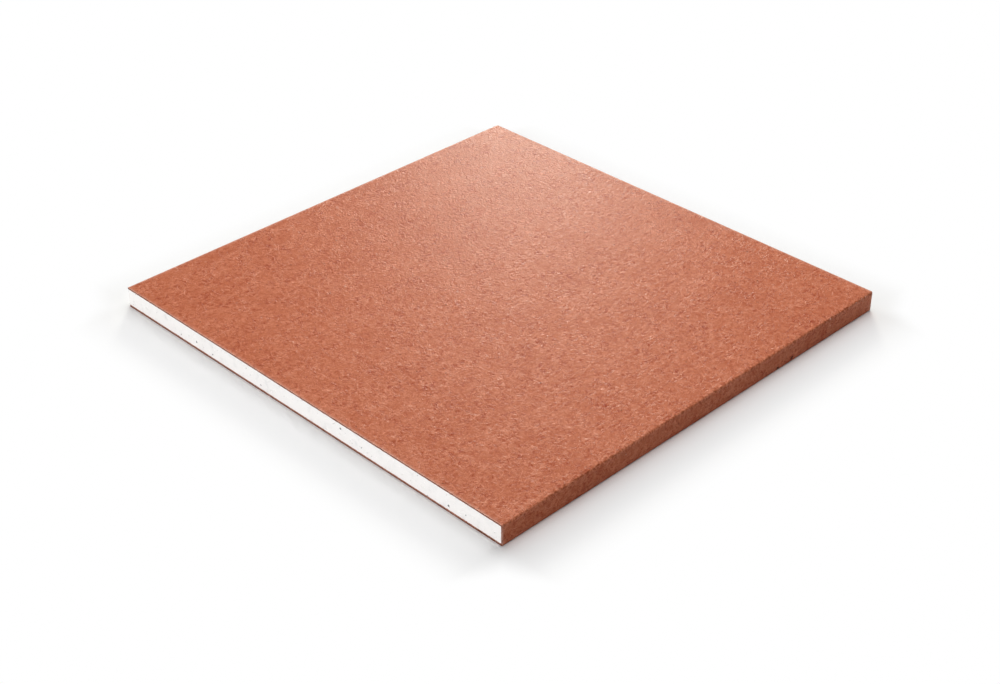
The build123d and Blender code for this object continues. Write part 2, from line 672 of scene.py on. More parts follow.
def lump_material(name, body, spots):
    """Small lumps with a few spots of a second colour: grains in gypsum, or bark and flecks in paper."""
    material, tree, shader = new_material(name)
    fine = cloud(tree, object_place(tree), 0.4 * MILLIMETRE, 3.0, 0.6)["Fac"]
    base = mix_colour(tree, fade(tree, fine, 0.45, 0.9), body, spots)
    roughness = spread(tree, fine, 0.7, 0.9)
    finish_shader(tree, shader, "lump", base, roughness, fine)
    return material


# Meshes

# Edges bent more than this stay sharp, and those of the fibres only if bent more than that
SHARP = math.radians(40)
FIBRE_SHARP = math.radians(80)


def link_piece(mesh, materials):
    """A new object of a mesh, with its materials."""
    piece = bpy.data.objects.new(mesh.name, mesh)
    bpy.context.collection.objects.link(piece)
    for material in materials:
        mesh.materials.append(material)
    return piece


def add_piece(name, points, faces, materials):
    """A new object from plain lists of points and faces."""
    mesh = bpy.data.meshes.new(name)
    mesh.from_pydata(points, [], faces)
    mesh.validate()
    return link_piece(mesh, materials)


def close_piece(name, bm, material):
    """A new object from a mesh that is all there, with its faces turned outwards."""
    bmesh.ops.recalc_face_normals(bm, faces=bm.faces)
    mesh = bpy.data.meshes.new(name)
    bm.to_mesh(mesh)
    bm.free()
    return link_piece(mesh, (material,))


def finish_piece(piece, node=None, sharp=SHARP):
    """Smooths a piece between its sharp edges and tells the frame what it is."""
    piece.data.shade_smooth()
    piece.data.set_sharp_from_angle(angle=sharp)
    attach(piece, BODY)
    if node:
        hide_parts(node)


def put_values(mesh, name, kind, values):
    """Stores a value for each point of a mesh, for its material to read."""
    layer = mesh.attributes.new(name, kind, "POINT")
    if kind == "FLOAT_VECTOR":
        layer.data.foreach_set("vector", [number for value in values for number in value])
    else:
        layer.data.foreach_set("value", values)


class SheetPath:
    """The line that a paper's outer face follows across the board, as straight runs and bends.

    It runs in the section's Y and Z, with the core on its left.
    """

    def __init__(self, y, z, heading):
        self.runs = []
        self.length = 0.0
        self.place = Vector((y, z))
        self.heading = heading

    def straight(self, length):
        """Goes straight on."""
        self.runs.append((self.length, length, self.place.copy(), self.heading, 0.0))
        self.length += length
        self.place += length * Vector((math.cos(self.heading), math.sin(self.heading)))
        return self

    def bend(self, radius, turn):
        """Turns left round a bend of the given radius, or right where both are below 0."""
        self.runs.append((self.length, radius * turn, self.place.copy(), self.heading, radius))
        inward = Vector((-math.sin(self.heading), math.cos(self.heading)))
        centre = self.place + radius * inward
        self.heading += turn
        self.place = centre + radius * Vector((math.sin(self.heading), -math.cos(self.heading)))
        self.length += radius * turn
        return self

    def at(self, distance):
        """The place on the outer face at that distance, and the direction into the paper."""
        run = max((run for run in self.runs if run[0] <= distance), default=self.runs[0])
        start, _, place, heading, radius = run
        travelled = distance - start
        if radius == 0.0:
            place = place + travelled * Vector((math.cos(heading), math.sin(heading)))
            return place, Vector((-math.sin(heading), math.cos(heading)))
        centre = place + radius * Vector((-math.sin(heading), math.cos(heading)))
        heading += travelled / radius
        inward = Vector((-math.sin(heading), math.cos(heading)))
        return centre - radius * inward, inward

    def bend_spans(self):
        """Start and end of each bend."""
        return [(start, start + length) for start, length, _, _, radius in self.runs if radius]


# Papers

# Kept free at the far edge, so that rounded numbers stay inside the board
ROUNDING = 0.001 * MILLIMETRE
# Rows of points close to a cut edge, in millimetres from it
EDGE_ROWS = (0.0, 0.12, 0.35, 0.8)
BEND_STEPS = 8


def even_stations(start, end, step):
    """Distances from start to end, evenly spaced at about the step, without the end itself."""
    count = max(1, round((end - start) / step))
    return [start + (end - start) * index / count for index in range(count)]


def edged_stations(length, step):
    """Distances over a cut length, finer near both its ends."""
    rows = [row * MILLIMETRE for row in EDGE_ROWS]
    middle = even_stations(rows[-1], length - rows[-1], step)[1:]
    return rows + middle + [length - row for row in reversed(rows)]


def sheet_stations(path, step):
    """Distances along a paper's path, finer near its cut edges and round its bends."""
    stations = set(edged_stations(path.length, step))
    for start, end in path.bend_spans():
        stations = {s for s in stations if not start - step / 4 < s < end + step / 4}
        stations.update(even_stations(start, end, (end - start) / BEND_STEPS))
        stations.add(end)
    return sorted(stations)


def face_path(sizes):
    """The face paper: over the top, round the factory edge and in under the core."""
    path = SheetPath(SAWN_EDGE, BOARD_TOP, math.pi)
    path.straight(BOARD_WIDTH - sizes.upper_fold)
    path.bend(sizes.upper_fold, QUARTER_TURN)
    path.straight(BOARD_TOP - FOLD_BOTTOM - sizes.upper_fold - sizes.lower_fold)
    path.bend(sizes.lower_fold, QUARTER_TURN)
    add_lap(path, sizes.lower_fold, 0.0, sizes)
    return path


def add_lap(path, used, inset, sizes):
    """Takes a path under the core: flush with the underside, up a step, and on above the back paper.

    Of the way in from the factory edge, a part is used already. The inset is how deep the path lies
    in the paper.
    """
    turn = math.acos(1.0 - BACK_THICKNESS / (2 * sizes.lap_bend))
    step = 2 * sizes.lap_bend * math.sin(turn)
    path.straight(BACK_SETBACK - step - used)
    path.bend(sizes.lap_bend - inset, turn)
    path.bend(-sizes.lap_bend - inset, -turn)
    path.straight(sizes.fold_under - BACK_SETBACK)


def back_path():
    """The back paper: flat on the underside, from near the factory edge to the sawn edge."""
    return SheetPath(BACK_LOW.y, BACK_LOW.z, 0.0).straight(BACK_HIGH.y - BACK_LOW.y - ROUNDING)


# Waves in a paper's face: share of the cockle, size in millimetres, seed
PAPER_WAVES = ((0.45, 23.0, 1.7), (0.30, 7.0, 9.2), (0.25, 1.9, 4.4))
# How deep a paper lies below the loose fibres, as a share of their width
FIBRE_ROOM = 0.25
# Knocks along the upper fold: their size, how rare they are, their seed, the width of the band that
# has them, and where its middle lies, as a share of the fold's radius
KNOCK_SIZE = 2.4 * MILLIMETRE
KNOCK_RARITY = 0.7
KNOCK_SEED = 7.3
KNOCK_BAND = 1.1 * MILLIMETRE
KNOCK_MIDDLE = 0.3


def ripple(x, along, size, seed):
    """A smooth random value from 0 to 1 over a sheet, with patches of the given size."""
    return 0.5 + 0.5 * max(-1.0, min(1.0, noise.noise(Vector((x / size, along / size, seed)))))


def knock_depth(x, along, sizes):
    """Depth of the knocks along the upper fold."""
    knocks = max(0.0, 2.0 * ripple(x, along, KNOCK_SIZE, KNOCK_SEED) - KNOCK_RARITY)
    to_fold = (along - BOARD_WIDTH + KNOCK_MIDDLE * sizes.upper_fold) / KNOCK_BAND
    return sizes.fold_dent * knocks * math.exp(-to_fold * to_fold)


def paper_depth(x, along, sizes):
    """How far a paper's face lies below its ideal plane: waves, knocks and room for loose fibres."""
    waves = sum(share * ripple(x, along, size * MILLIMETRE, seed) for share, size, seed in PAPER_WAVES)
    return sizes.cockle * waves + FIBRE_ROOM * sizes.fibre_width + knock_depth(x, along, sizes)


def coarse(stations, spans=(), every=6):
    """Places in a list that are a few apart, or each one within a span, with the last one."""
    last = len(stations) - 1
    bent = [i for i in range(last) if any(start <= stations[i] <= end for start, end in spans)]
    return sorted({*range(0, last, every), *bent, last})


# How far from a cut a paper shows wear and a painted highlight, and how far from a fold it shows wear
CUT_WEAR_AND_HIGHLIGHT = 0.45 * MILLIMETRE
FOLD_WEAR = 1.4 * MILLIMETRE
# Rounding of a cut edge, and how far in from it the cut holds the paper up
CUT_ROUNDING = 0.03 * MILLIMETRE
CUT_BURR = 0.5 * MILLIMETRE
# How far in from a cut end the paper frays, in patches of this size and with this seed
FRAY_REACH = 1.0 * MILLIMETRE
FRAY_SIZE = 1.6 * MILLIMETRE
FRAY_SEED = 6.1
# Further from a fold than any wear
NO_FOLD = 1.0


class SheetPoints:
    """The points of a paper that follows a path, and the values that its material reads there."""

    def __init__(self, path, sizes):
        self.path = path
        self.sizes = sizes
        self.along = sheet_stations(path, sizes.sheet_step)
        self.across = [x - END_X for x in edged_stations(BOARD_LENGTH, sizes.sheet_step)]
        self.rows = [path.at(s) for s in self.along]
        self.worn_fold = path.bend_spans()[:1]
        self.points = []
        self.places = []
        self.near_cut = []
        self.near_fold = []

    def add(self, x, row, depth):
        """Adds a point at that depth below the path, frayed inwards near a cut end."""
        s = self.along[row]
        place, inward = self.rows[row]
        spot = place + depth * inward
        to_end = max(0.0, END_X - abs(x))
        to_side = min(s, self.path.length - s)
        to_fold = min((max(start - s, s - end, 0.0) for start, end in self.worn_fold), default=NO_FOLD)
        frayed = self.sizes.fray * ripple(math.copysign(1.0, x), s, FRAY_SIZE, FRAY_SEED)
        x -= math.copysign(frayed * math.exp(-to_end / FRAY_REACH), x)
        self.points.append((x, spot.x, spot.y))
        self.places.append((x, s, depth))
        self.near_cut.append(math.exp(-min(to_end, to_side) / CUT_WEAR_AND_HIGHLIGHT))
        self.near_fold.append(math.exp(-to_fold / FOLD_WEAR))

    def add_outer_face(self):
        """Adds each point of the outer face, with its waves, and its cut edges burred and rounded."""
        for x in self.across:
            for row, s in enumerate(self.along):
                to_cut = min(END_X - abs(x), s, self.path.length - s)
                sunk = paper_depth(x, s, self.sizes) * (1.0 - math.exp(-to_cut / CUT_BURR))
                self.add(x, row, sunk + CUT_ROUNDING * math.exp(-to_cut / CUT_ROUNDING))

    def add_hidden_face(self, columns, rows, thickness):
        """Adds the chosen points of the hidden face."""
        for column in columns:
            for row in rows:
                self.add(self.across[column], row, thickness)


def grid_faces(number, columns, rows):
    """Faces between neighbours in a grid, where number gives a point's number."""
    return [
        (number(i, j), number(i, j + 1), number(i + 1, j + 1), number(i + 1, j))
        for i in range(columns - 1)
        for j in range(rows - 1)
    ]


def cut_faces(outer, hidden, columns, rows):
    """Faces of the four cut edges, from the fine outer face to the chosen points of the hidden face."""
    faces = []
    far_column = len(columns) - 1
    far_row = len(rows) - 1
    for k in range(far_row):
        steps = range(rows[k], rows[k + 1] + 1)
        near_side = [outer(0, j) for j in reversed(steps)]
        far_side = [outer(columns[-1], j) for j in steps]
        faces.append((hidden(0, k), hidden(0, k + 1), *near_side))
        faces.append((hidden(far_column, k + 1), hidden(far_column, k), *far_side))
    for k in range(far_column):
        steps = range(columns[k], columns[k + 1] + 1)
        near_side = [outer(i, 0) for i in steps]
        far_side = [outer(i, rows[-1]) for i in reversed(steps)]
        faces.append((hidden(k + 1, 0), hidden(k, 0), *near_side))
        faces.append((hidden(k, far_row), hidden(k + 1, far_row), *far_side))
    return faces


def sheet_piece(name, path, thickness, sizes, materials):
    """A closed mesh of a paper that follows a path: its outer face is fine, its hidden face coarse."""
    sheet = SheetPoints(path, sizes)
    columns = coarse(sheet.across)
    rows = coarse(sheet.along, path.bend_spans())
    sheet.add_outer_face()
    first_hidden = len(sheet.points)
    sheet.add_hidden_face(columns, rows, thickness)

    def outer(i, j):
        return i * len(sheet.along) + j

    def hidden(i, j):
        return first_hidden + i * len(rows) + j

    faces = grid_faces(outer, len(sheet.across), len(sheet.along))
    faces += [(a, d, c, b) for a, b, c, d in grid_faces(hidden, len(columns), len(rows))]
    first_cut = len(faces)
    faces += cut_faces(outer, hidden, columns, rows)
    piece = add_piece(name, sheet.points, faces, materials)
    for polygon in piece.data.polygons[first_cut:]:
        polygon.material_index = 1
    put_values(piece.data, "sheet_place", "FLOAT_VECTOR", sheet.places)
    put_values(piece.data, "near_cut", "FLOAT", sheet.near_cut)
    put_values(piece.data, "near_fold", "FLOAT", sheet.near_fold)
    return piece


def edge_distance(path, height):
    """Distance along the face paper's path to a height on the wrapped edge."""
    start, _, place, _, _ = path.runs[2]
    return start + place.y - height


def curved_line(x, s, length, heading, curl, steps):
    """Points of a curved line round its middle, on the paper laid flat."""
    line = [Vector((x, s))]
    for side in (-1.0, 1.0):
        spot = Vector((x, s))
        half = []
        for step in range(1, steps + 1):
            turned = heading + curl * side * (step - 0.5) / (2 * steps)
            spot = spot + side * length / (2 * steps) * Vector((math.cos(turned), math.sin(turned)))
            half.append(spot)
        line = list(reversed(half)) + line if side < 0 else line + half
    return line


def scattered_line(draw, path, length, curl, steps):
    """A curved line at a random place on the outer face, clear of the paper's cut edges."""
    margin = length / 2 + MILLIMETRE / 2
    x = draw.uniform(margin - END_X, END_X - margin)
    s = draw.uniform(margin, path.length - margin)
    share = draw.uniform(-1.0, 1.0)
    heading = share * (0.5 + 0.5 * abs(share)) * QUARTER_TURN
    return curved_line(x, s, length, heading, draw.gauss(0.0, curl), steps)


# The share of fibres that took hardly any dye, their tones, how the tones of the others spread,
# and the tones of long hairs
PLAIN_SHARE = 0.6
PLAIN_TONES = (0.75, 1.0)
DYED_SPREAD = (0.8, 1.6)
HAIR_TONES = (0.85, 1.0)


def fibre_tone(draw):
    """Most fibres are plainly pale, some deep red, and a few between."""
    if draw.random() < PLAIN_SHARE:
        return draw.uniform(*PLAIN_TONES)
    return draw.betavariate(*DYED_SPREAD)


def hair_tone(draw):
    """Long hairs are all pale."""
    return draw.uniform(*HAIR_TONES)


# Loose fibres and long hairs: least and greatest length and half width as shares of the middling ones,
# how much they curl, the steps along half of each, and what draws their tone
FIBRE_KIND = ((0.4, 1.7), (0.3, 0.7), 0.9, 3, fibre_tone)
HAIR_KIND = ((0.5, 1.6), (0.35, 0.6), 2.2, 8, hair_tone)


def strewn_fibres(draw, path, count, length, width, kind):
    """Middle line, half width and tone of each fibre of a kind."""
    lengths, widths, curl, steps, tone = kind
    fibres = []
    for _ in range(count):
        line = scattered_line(draw, path, length * draw.uniform(*lengths), curl, steps)
        fibres.append((line, width * draw.uniform(*widths), tone(draw)))
    return fibres


def loose_fibres(path, sizes):
    """Every loose fibre and long hair on the face paper."""
    draw = random.Random(SEEDS["fibres"])
    width = sizes.fibre_width
    fibres = strewn_fibres(draw, path, sizes.fibre_count, sizes.fibre_length, width, FIBRE_KIND)
    hairs = strewn_fibres(draw, path, sizes.hair_count, sizes.hair_length, width, HAIR_KIND)
    return fibres + hairs


# Corners of a strand's section: share of the half width to the side, and sunk below its top
STRAND_SECTION = ((1.0, 0.25), (0.0, 0.0), (-1.0, 0.25), (0.0, 0.9))
# Width of a strand's two tips as a share of the rest
STRAND_TIP = 0.35
# How far a strand stands out of the paper, as a share of its half width, and the greatest half width
# that counts for it, as a share of a middling fibre's width
STRAND_LIFT = 0.35
STRAND_CAP = 0.7


def strand_points(path, line, width, sizes):
    """Points of one flat four-sided strand, half sunk into the paper."""
    points = []
    for step, spot in enumerate(line):
        before = line[max(0, step - 1)]
        after = line[min(len(line) - 1, step + 1)]
        run = (after - before).normalized()
        half = width * (STRAND_TIP if step in (0, len(line) - 1) else 1.0)
        lift = paper_depth(spot.x, spot.y, sizes) - STRAND_LIFT * min(half, STRAND_CAP * sizes.fibre_width)
        for side, sunk in STRAND_SECTION:
            place, inward = path.at(spot.y + run.x * side * half)
            place = place + (lift + sunk * half) * inward
            points.append((spot.x - run.y * side * half, place.x, place.y))
    return points


def strand_faces(first, count):
    """Faces of a strand of that many sections, whose first point has that number."""
    sides = len(STRAND_SECTION)
    faces = []
    for ring in range(count - 1):
        a = first + sides * ring
        for k in range(sides):
            n = (k + 1) % sides
            faces.append((a + k, a + sides + k, a + sides + n, a + n))
    last = first + sides * (count - 1)
    faces.append(tuple(first + k for k in range(sides)))
    faces.append(tuple(last + k for k in reversed(range(sides))))
    return faces


def fibre_piece(name, path, sizes, material):
    """Loose fibres joined into one mesh."""
    points, faces, tones = [], [], []
    for line, width, tone in loose_fibres(path, sizes):
        faces += strand_faces(len(points), len(line))
        points += strand_points(path, line, width, sizes)
        tones += [tone] * (len(points) - len(tones))
    piece = add_piece(name, points, faces, (material,))
    put_values(piece.data, "tone", "FLOAT", tones)
    return piece


# A lump's height as a share of its radius, and how far its middle is sunk, as a share of its height
LUMP_RISE = 0.15
LUMP_SUNK = 0.2
# How unevenly a lump swells, how finely, and what sets one lump's swelling apart from the next one's
LUMP_SWELL = 0.3
LUMP_WAVES = 1.5
LUMP_SHIFT = 900


def add_lump(bm, draw, spot, radius, highest, to_space):
    """Adds a flat uneven lump to a mesh. to_space turns a flat place and a depth into a point."""
    rise = min(LUMP_RISE * radius, highest)
    made = bmesh.ops.create_icosphere(bm, subdivisions=2, radius=1.0)["verts"]
    stretch = Vector((draw.uniform(0.7, 1.3), draw.uniform(0.6, 1.0)))
    twist = Matrix.Rotation(draw.uniform(0.0, math.pi), 2)
    shift = Vector((spot.x * LUMP_SHIFT, spot.y * LUMP_SHIFT, 0))
    for vert in made:
        swell = 1.0 + LUMP_SWELL * noise.noise(vert.co * LUMP_WAVES + shift)
        flat = twist @ Vector((vert.co.x * stretch.x, vert.co.y * stretch.y)) * swell * radius
        vert.co = to_space(spot + flat, (LUMP_SUNK - vert.co.z * swell) * rise)


# Specks of bark seen in the face: x, y and radius in millimetres
FACE_SPECKS = (
    (61.1, 40.1, 0.42),
    (131.1, 83.8, 0.32),
    (101.3, 138.9, 0.28),
    (37.4, 30.5, 0.34),
    (105.8, -3.8, 0.36),
    (-135.5, 135.8, 0.36),
    (-121.9, 98.1, 0.32),
    (-145.0, -107.1, 0.38),
    (-116.1, -144.3, 0.34),
)
# And in the wrapped edge: x, height and radius in millimetres
EDGE_SPECKS = ((74.3, 2.1, 1.25), (62.0, 1.2, 1.0), (-20.5, 6.1, 0.4))
# Pale flecks chipped out of the wrapped edge: x, height and radius in millimetres
EDGE_FLECKS = (
    (108.0, 12.0, 0.6),
    (108.3, 7.4, 0.4),
    (132.0, 11.9, 0.4),
    (137.5, 12.1, 0.34),
    (141.0, 11.9, 0.38),
    (-61.0, 8.2, 0.28),
)


def edge_places(path, rows):
    """Flat place and radius of each speck in a list for the wrapped edge."""
    return [
        (Vector((x * MILLIMETRE, edge_distance(path, height * MILLIMETRE))), radius * MILLIMETRE)
        for x, height, radius in rows
    ]


# How far strewn specks keep from the paper's cut edges, and their radii in millimetres
SPECK_MARGIN = 1.0 * MILLIMETRE
STREWN_RADII = (0.08, 0.18)
# The greatest height of a speck, as a share of a middling fibre's width
SPECK_HEIGHT = 1 / 6


def speck_places(path, sizes):
    """Flat place and radius of each speck of bark on the face paper."""
    draw = random.Random(SEEDS["specks"])
    specks = [(x * MILLIMETRE, SAWN_EDGE - y * MILLIMETRE, radius) for x, y, radius in FACE_SPECKS]
    for _ in range(sizes.speck_count):
        x = draw.uniform(SPECK_MARGIN - END_X, END_X - SPECK_MARGIN)
        s = draw.uniform(SPECK_MARGIN, path.length - SPECK_MARGIN)
        specks.append((x, s, draw.uniform(*STREWN_RADII)))
    specks = [(Vector((x, s)), radius * MILLIMETRE) for x, s, radius in specks]
    return specks + edge_places(path, EDGE_SPECKS)


def speck_piece(name, path, places, sizes, material):
    """Specks pressed into the face paper, joined into one mesh."""
    draw = random.Random(SEEDS["speck_lumps"])
    bm = bmesh.new()

    def to_space(spot, depth):
        place, inward = path.at(spot.y)
        place = place + (paper_depth(spot.x, spot.y, sizes) + depth) * inward
        return Vector((spot.x, place.x, place.y))

    for spot, radius in places:
        add_lump(bm, draw, spot, radius, SPECK_HEIGHT * sizes.fibre_width, to_space)
    return close_piece(name, bm, material)


# Core

def core_chain(sizes):
    """The core's section where the papers hide it, from the top of the sawn edge round to its bottom."""
    inner_upper = sizes.upper_fold - FACE_THICKNESS
    inner_lower = sizes.lower_fold - FACE_THICKNESS
    flush = FOLD_BOTTOM + FACE_THICKNESS
    edge = FACTORY_EDGE + FACE_THICKNESS
    recess_edge = SAWN_EDGE - sizes.core_recess
    path = SheetPath(recess_edge, CORE_HIGH.z, math.pi)
    path.straight(recess_edge - edge - inner_upper)
    path.bend(inner_upper, QUARTER_TURN)
    path.straight(CORE_HIGH.z - flush - inner_upper - inner_lower)
    path.bend(inner_lower, QUARTER_TURN)
    add_lap(path, sizes.lower_fold, FACE_THICKNESS, sizes)
    fold_end = FACTORY_EDGE + sizes.fold_under
    stations = set()
    for start, length, _, _, radius in path.runs:
        step = length / BEND_STEPS if radius else sizes.core_step
        stations.update(even_stations(start, start + length, step))
    chain = [path.at(s)[0] for s in sorted(stations)]
    chain.append(path.place.copy())
    chain += [Vector((y, CORE_LOW.z)) for y in even_stations(fold_end, recess_edge, sizes.core_step)]
    chain.append(Vector((recess_edge, CORE_LOW.z)))
    return chain


PIT_SIDES = 10
# Rings of a pit below its rim: share of the radius, share of the depth
PIT_RINGS = ((0.82, 0.5), (0.5, 0.85))
# How the pits' radii spread, how uneven a rim is, and a pit's depth as a share of its radius
PIT_SPREAD = (0.5, 0.55)
RIM_RADII = (0.85, 1.1)
PIT_DEPTHS = (0.7, 1.3)
# Radii that a pit keeps from the face's edges, from other pits and marks, and from loose points
PIT_MARGIN = 1.6
PIT_GAP = 1.4
PIT_CLEARANCE = 1.5
# Tries for each pit before the face counts as full
TRIES_FOR_A_PIT = 20
# Spacing of the loose points that roughen a sawn face, and how far they keep from its edges
SAWN_STEP = 1.8 * MILLIMETRE
SAWN_MARGIN = 0.5 * MILLIMETRE
# What the mesher is asked for: triangles inside the outline, and points this close joined, in millimetres
INSIDE_ONLY = 1
SAME_PLACE = 0.0001


def scattered_pits(draw, low, high, marks, sizes):
    """Places and radii of air pits that keep clear of the face's edges, of each other and of the marks."""
    pits = []
    tries = TRIES_FOR_A_PIT * sizes.pit_count
    while len(pits) < sizes.pit_count and tries:
        tries -= 1
        radius = min(sizes.largest_pit, sizes.smallest_pit * draw.lognormvariate(*PIT_SPREAD))
        margin = PIT_MARGIN * radius
        u = draw.uniform(low.x + margin, high.x - margin)
        place = Vector((u, draw.uniform(low.y + margin, high.y - margin)))
        if all((place - other).length > PIT_GAP * (radius + wide) for other, wide in pits + marks):
            pits.append((place, radius))
    return pits


def pit_rim(draw, place, radius):
    """A slightly uneven ring of points."""
    rim = []
    for side in range(PIT_SIDES):
        angle = math.tau * side / PIT_SIDES
        reach = radius * draw.uniform(*RIM_RADII)
        rim.append(place + reach * Vector((math.cos(angle), math.sin(angle))))
    return rim


def loose_spots(draw, low, high, pits):
    """Uneven places over a sawn face that keep clear of its edges and of the pits."""
    left, right = low.x + SAWN_MARGIN, high.x - SAWN_MARGIN
    bottom, top = low.y + SAWN_MARGIN, high.y - SAWN_MARGIN
    spots = []
    for u in even_stations(left, right, SAWN_STEP):
        for v in even_stations(bottom, top, SAWN_STEP):
            spot = Vector((u + draw.uniform(0.0, SAWN_STEP), v + draw.uniform(0.0, SAWN_STEP)))
            inside = left < spot.x < right and bottom < spot.y < top
            if inside and all((spot - place).length > PIT_CLEARANCE * radius for place, radius in pits):
                spots.append(spot)
    return spots


def add_pit(bm, draw, pit, rim, ring, to_space):
    """Adds the inside of a pit to a mesh, from the points of its rim down."""
    place, radius = pit
    depth = radius * draw.uniform(*PIT_DEPTHS)
    for share, sunk in PIT_RINGS:
        inner = [bm.verts.new(to_space(place.lerp(spot, share), sunk * depth)) for spot in rim]
        for side in range(PIT_SIDES):
            after = (side + 1) % PIT_SIDES
            bm.faces.new((ring[side], ring[after], inner[after], inner[side]))
        ring = inner
    bottom = bm.verts.new(to_space(place, depth))
    for side in range(PIT_SIDES):
        bm.faces.new((ring[side], ring[(side + 1) % PIT_SIDES], bottom))


def pitted_face(bm, outline, face, marks, seed, sizes):
    """Adds a sawn face with real pits to a mesh."""
    low, high, to_space = face
    draw = random.Random(seed)
    pits = scattered_pits(draw, low, high, marks, sizes)
    flat = list(outline)
    loops = [list(range(len(outline)))]
    for place, radius in pits:
        loops.append(list(range(len(flat), len(flat) + PIT_SIDES)))
        flat += pit_rim(draw, place, radius)
    first_loose = len(flat)
    flat += loose_spots(draw, low, high, pits)
    in_millimetres = [spot / MILLIMETRE for spot in flat]
    meshed = delaunay_2d_cdt(in_millimetres, [], loops, INSIDE_ONLY, SAME_PLACE)
    found, _, triangles, origins, _, sources = meshed
    verts = []
    for spot, origin in zip(found, origins):
        loose = not origin or origin[0] >= first_loose
        depth = draw.uniform(0.0, sizes.saw_depth) if loose else 0.0
        verts.append(bm.verts.new(to_space(spot * MILLIMETRE, depth)))
    for triangle, source in zip(triangles, sources):
        if len(source) == 1:
            bm.faces.new([verts[index] for index in triangle])
    new_index = {old: new for new, olds in enumerate(origins) for old in olds}
    for pit, loop in zip(pits, loops[1:]):
        ring = [verts[new_index[index]] for index in loop]
        add_pit(bm, draw, pit, [flat[index] for index in loop], ring, to_space)


# Grains seen on the sawn end: place along it from its middle, height and radius, in millimetres
END_GRAINS = (
    (86.6, 4.9, 0.72),
    (-34.2, 8.6, 0.68),
    (-113.4, 3.7, 0.80),
    (101.0, 3.3, 0.46),
    (72.4, 3.4, 0.50),
    (30.5, 3.7, 0.42),
    (-50.0, 4.8, 0.36),
    (-125.4, 4.7, 0.44),
    (-98.3, 1.3, 0.50),
)


def core_faces(sizes):
    """Each sawn face: its lowest and highest flat corner, and the way from a flat place to a point."""
    low_z, high_z = CORE_LOW.z, CORE_HIGH.z
    end_x = END_X - sizes.core_recess
    side_y = SAWN_EDGE - sizes.core_recess
    end_low = Vector((FACTORY_EDGE + FACE_THICKNESS, low_z + FACE_THICKNESS))
    end_high = Vector((side_y, high_z))
    return {
        "near_end": (end_low, end_high, lambda spot, depth: Vector((depth - end_x, spot.x, spot.y))),
        "far_end": (end_low, end_high, lambda spot, depth: Vector((end_x - depth, spot.x, spot.y))),
        "side": (
            Vector((-end_x, low_z)),
            Vector((end_x, high_z)),
            lambda spot, depth: Vector((spot.x, side_y - depth, spot.y)),
        ),
    }


# How far strewn grains keep from the papers, and their radii in millimetres
GRAIN_MARGIN = 1.0 * MILLIMETRE
GRAIN_RADII = (0.1, 0.26)


def grain_places(sizes):
    """For each sawn face, the places and radii of its dark grains."""
    draw = random.Random(SEEDS["grains"])
    places = {}
    for face, (low, high, _) in core_faces(sizes).items():
        chosen = []
        if face == "near_end":
            chosen += [(Vector((y, z)) * MILLIMETRE, radius * MILLIMETRE) for y, z, radius in END_GRAINS]
        for _ in range(sizes.grain_count):
            u = draw.uniform(low.x, high.x)
            spot = Vector((u, draw.uniform(low.y + GRAIN_MARGIN, high.y - GRAIN_MARGIN)))
            chosen.append((spot, draw.uniform(*GRAIN_RADII) * MILLIMETRE))
        places[face] = chosen
    return places


# Spacing of points up the corners of the sawn faces
CORNER_STEP = 2.0 * MILLIMETRE
# Points closer than this are one
SAME_POINT = 0.002 * MILLIMETRE


def add_skin(bm, chain, x_stations):
    """Adds the core's smooth skin to a mesh: its section run along the board."""
    rows = [[bm.verts.new((x, spot.x, spot.y)) for spot in chain] for x in x_stations]
    for i in range(len(rows) - 1):
        for j in range(len(chain) - 1):
            bm.faces.new((rows[i][j], rows[i][j + 1], rows[i + 1][j + 1], rows[i + 1][j]))


def sawn_outlines(chain, x_stations):
    """The outline of each sawn face, as flat places."""
    z_stations = even_stations(CORE_LOW.z, CORE_HIGH.z, CORNER_STEP)[1:]
    end = chain + [Vector((chain[0].x, z)) for z in z_stations]
    side = [Vector((x, CORE_LOW.z)) for x in x_stations]
    side += [Vector((x_stations[-1], z)) for z in z_stations]
    side += [Vector((x, CORE_HIGH.z)) for x in reversed(x_stations)]
    side += [Vector((x_stations[0], z)) for z in reversed(z_stations)]
    return {"near_end": end, "far_end": end, "side": side}


def core_piece(name, sizes, material):
    """The gypsum core: smooth where the papers hide it, pitted where it is sawn."""
    chain = core_chain(sizes)
    marks = grain_places(sizes)
    end_x = END_X - sizes.core_recess
    x_stations = even_stations(-end_x, end_x, sizes.core_step) + [end_x]
    outlines = sawn_outlines(chain, x_stations)
    bm = bmesh.new()
    add_skin(bm, chain, x_stations)
    for face, corners in core_faces(sizes).items():
        pitted_face(bm, outlines[face], corners, marks[face], SEEDS[face], sizes)
    bmesh.ops.remove_doubles(bm, verts=bm.verts, dist=SAME_POINT)
    return close_piece(name, bm, material)


def grain_piece(name, sizes, material):
    """Dark grains set into the sawn faces, joined into one mesh."""
    draw = random.Random(SEEDS["grain_lumps"])
    bm = bmesh.new()
    faces = core_faces(sizes)
    for face, marks in grain_places(sizes).items():
        _, _, to_space = faces[face]
        for spot, radius in marks:
            add_lump(bm, draw, spot, radius, sizes.core_recess / 2, to_space)
    return close_piece(name, bm, material)


# Stage

CAMERA_AZIMUTH = math.radians(-44.885)
CAMERA_ELEVATION = math.radians(33.101)
CAMERA_DISTANCE = 0.9926
CAMERA_RIGHT = 0.00029
CAMERA_UP = -0.01913
CAMERA_LENS = 62.847

FLOOR_SIZE = 12.0
# Seen directly, the floor fades to a glowing plain white over these distances from the board, which paints
# light over the outer part of the board's shadow
WHITE_FROM = 0.001
WHITE_AT = 0.0415
# Off a corner of the board the lesser of the two gaps counts again, by this much
CORNER_WEIGHT = 1.37
# Even light from the surroundings, as a share of the level at which a colour renders as it is written
SURROUNDINGS = 0.02
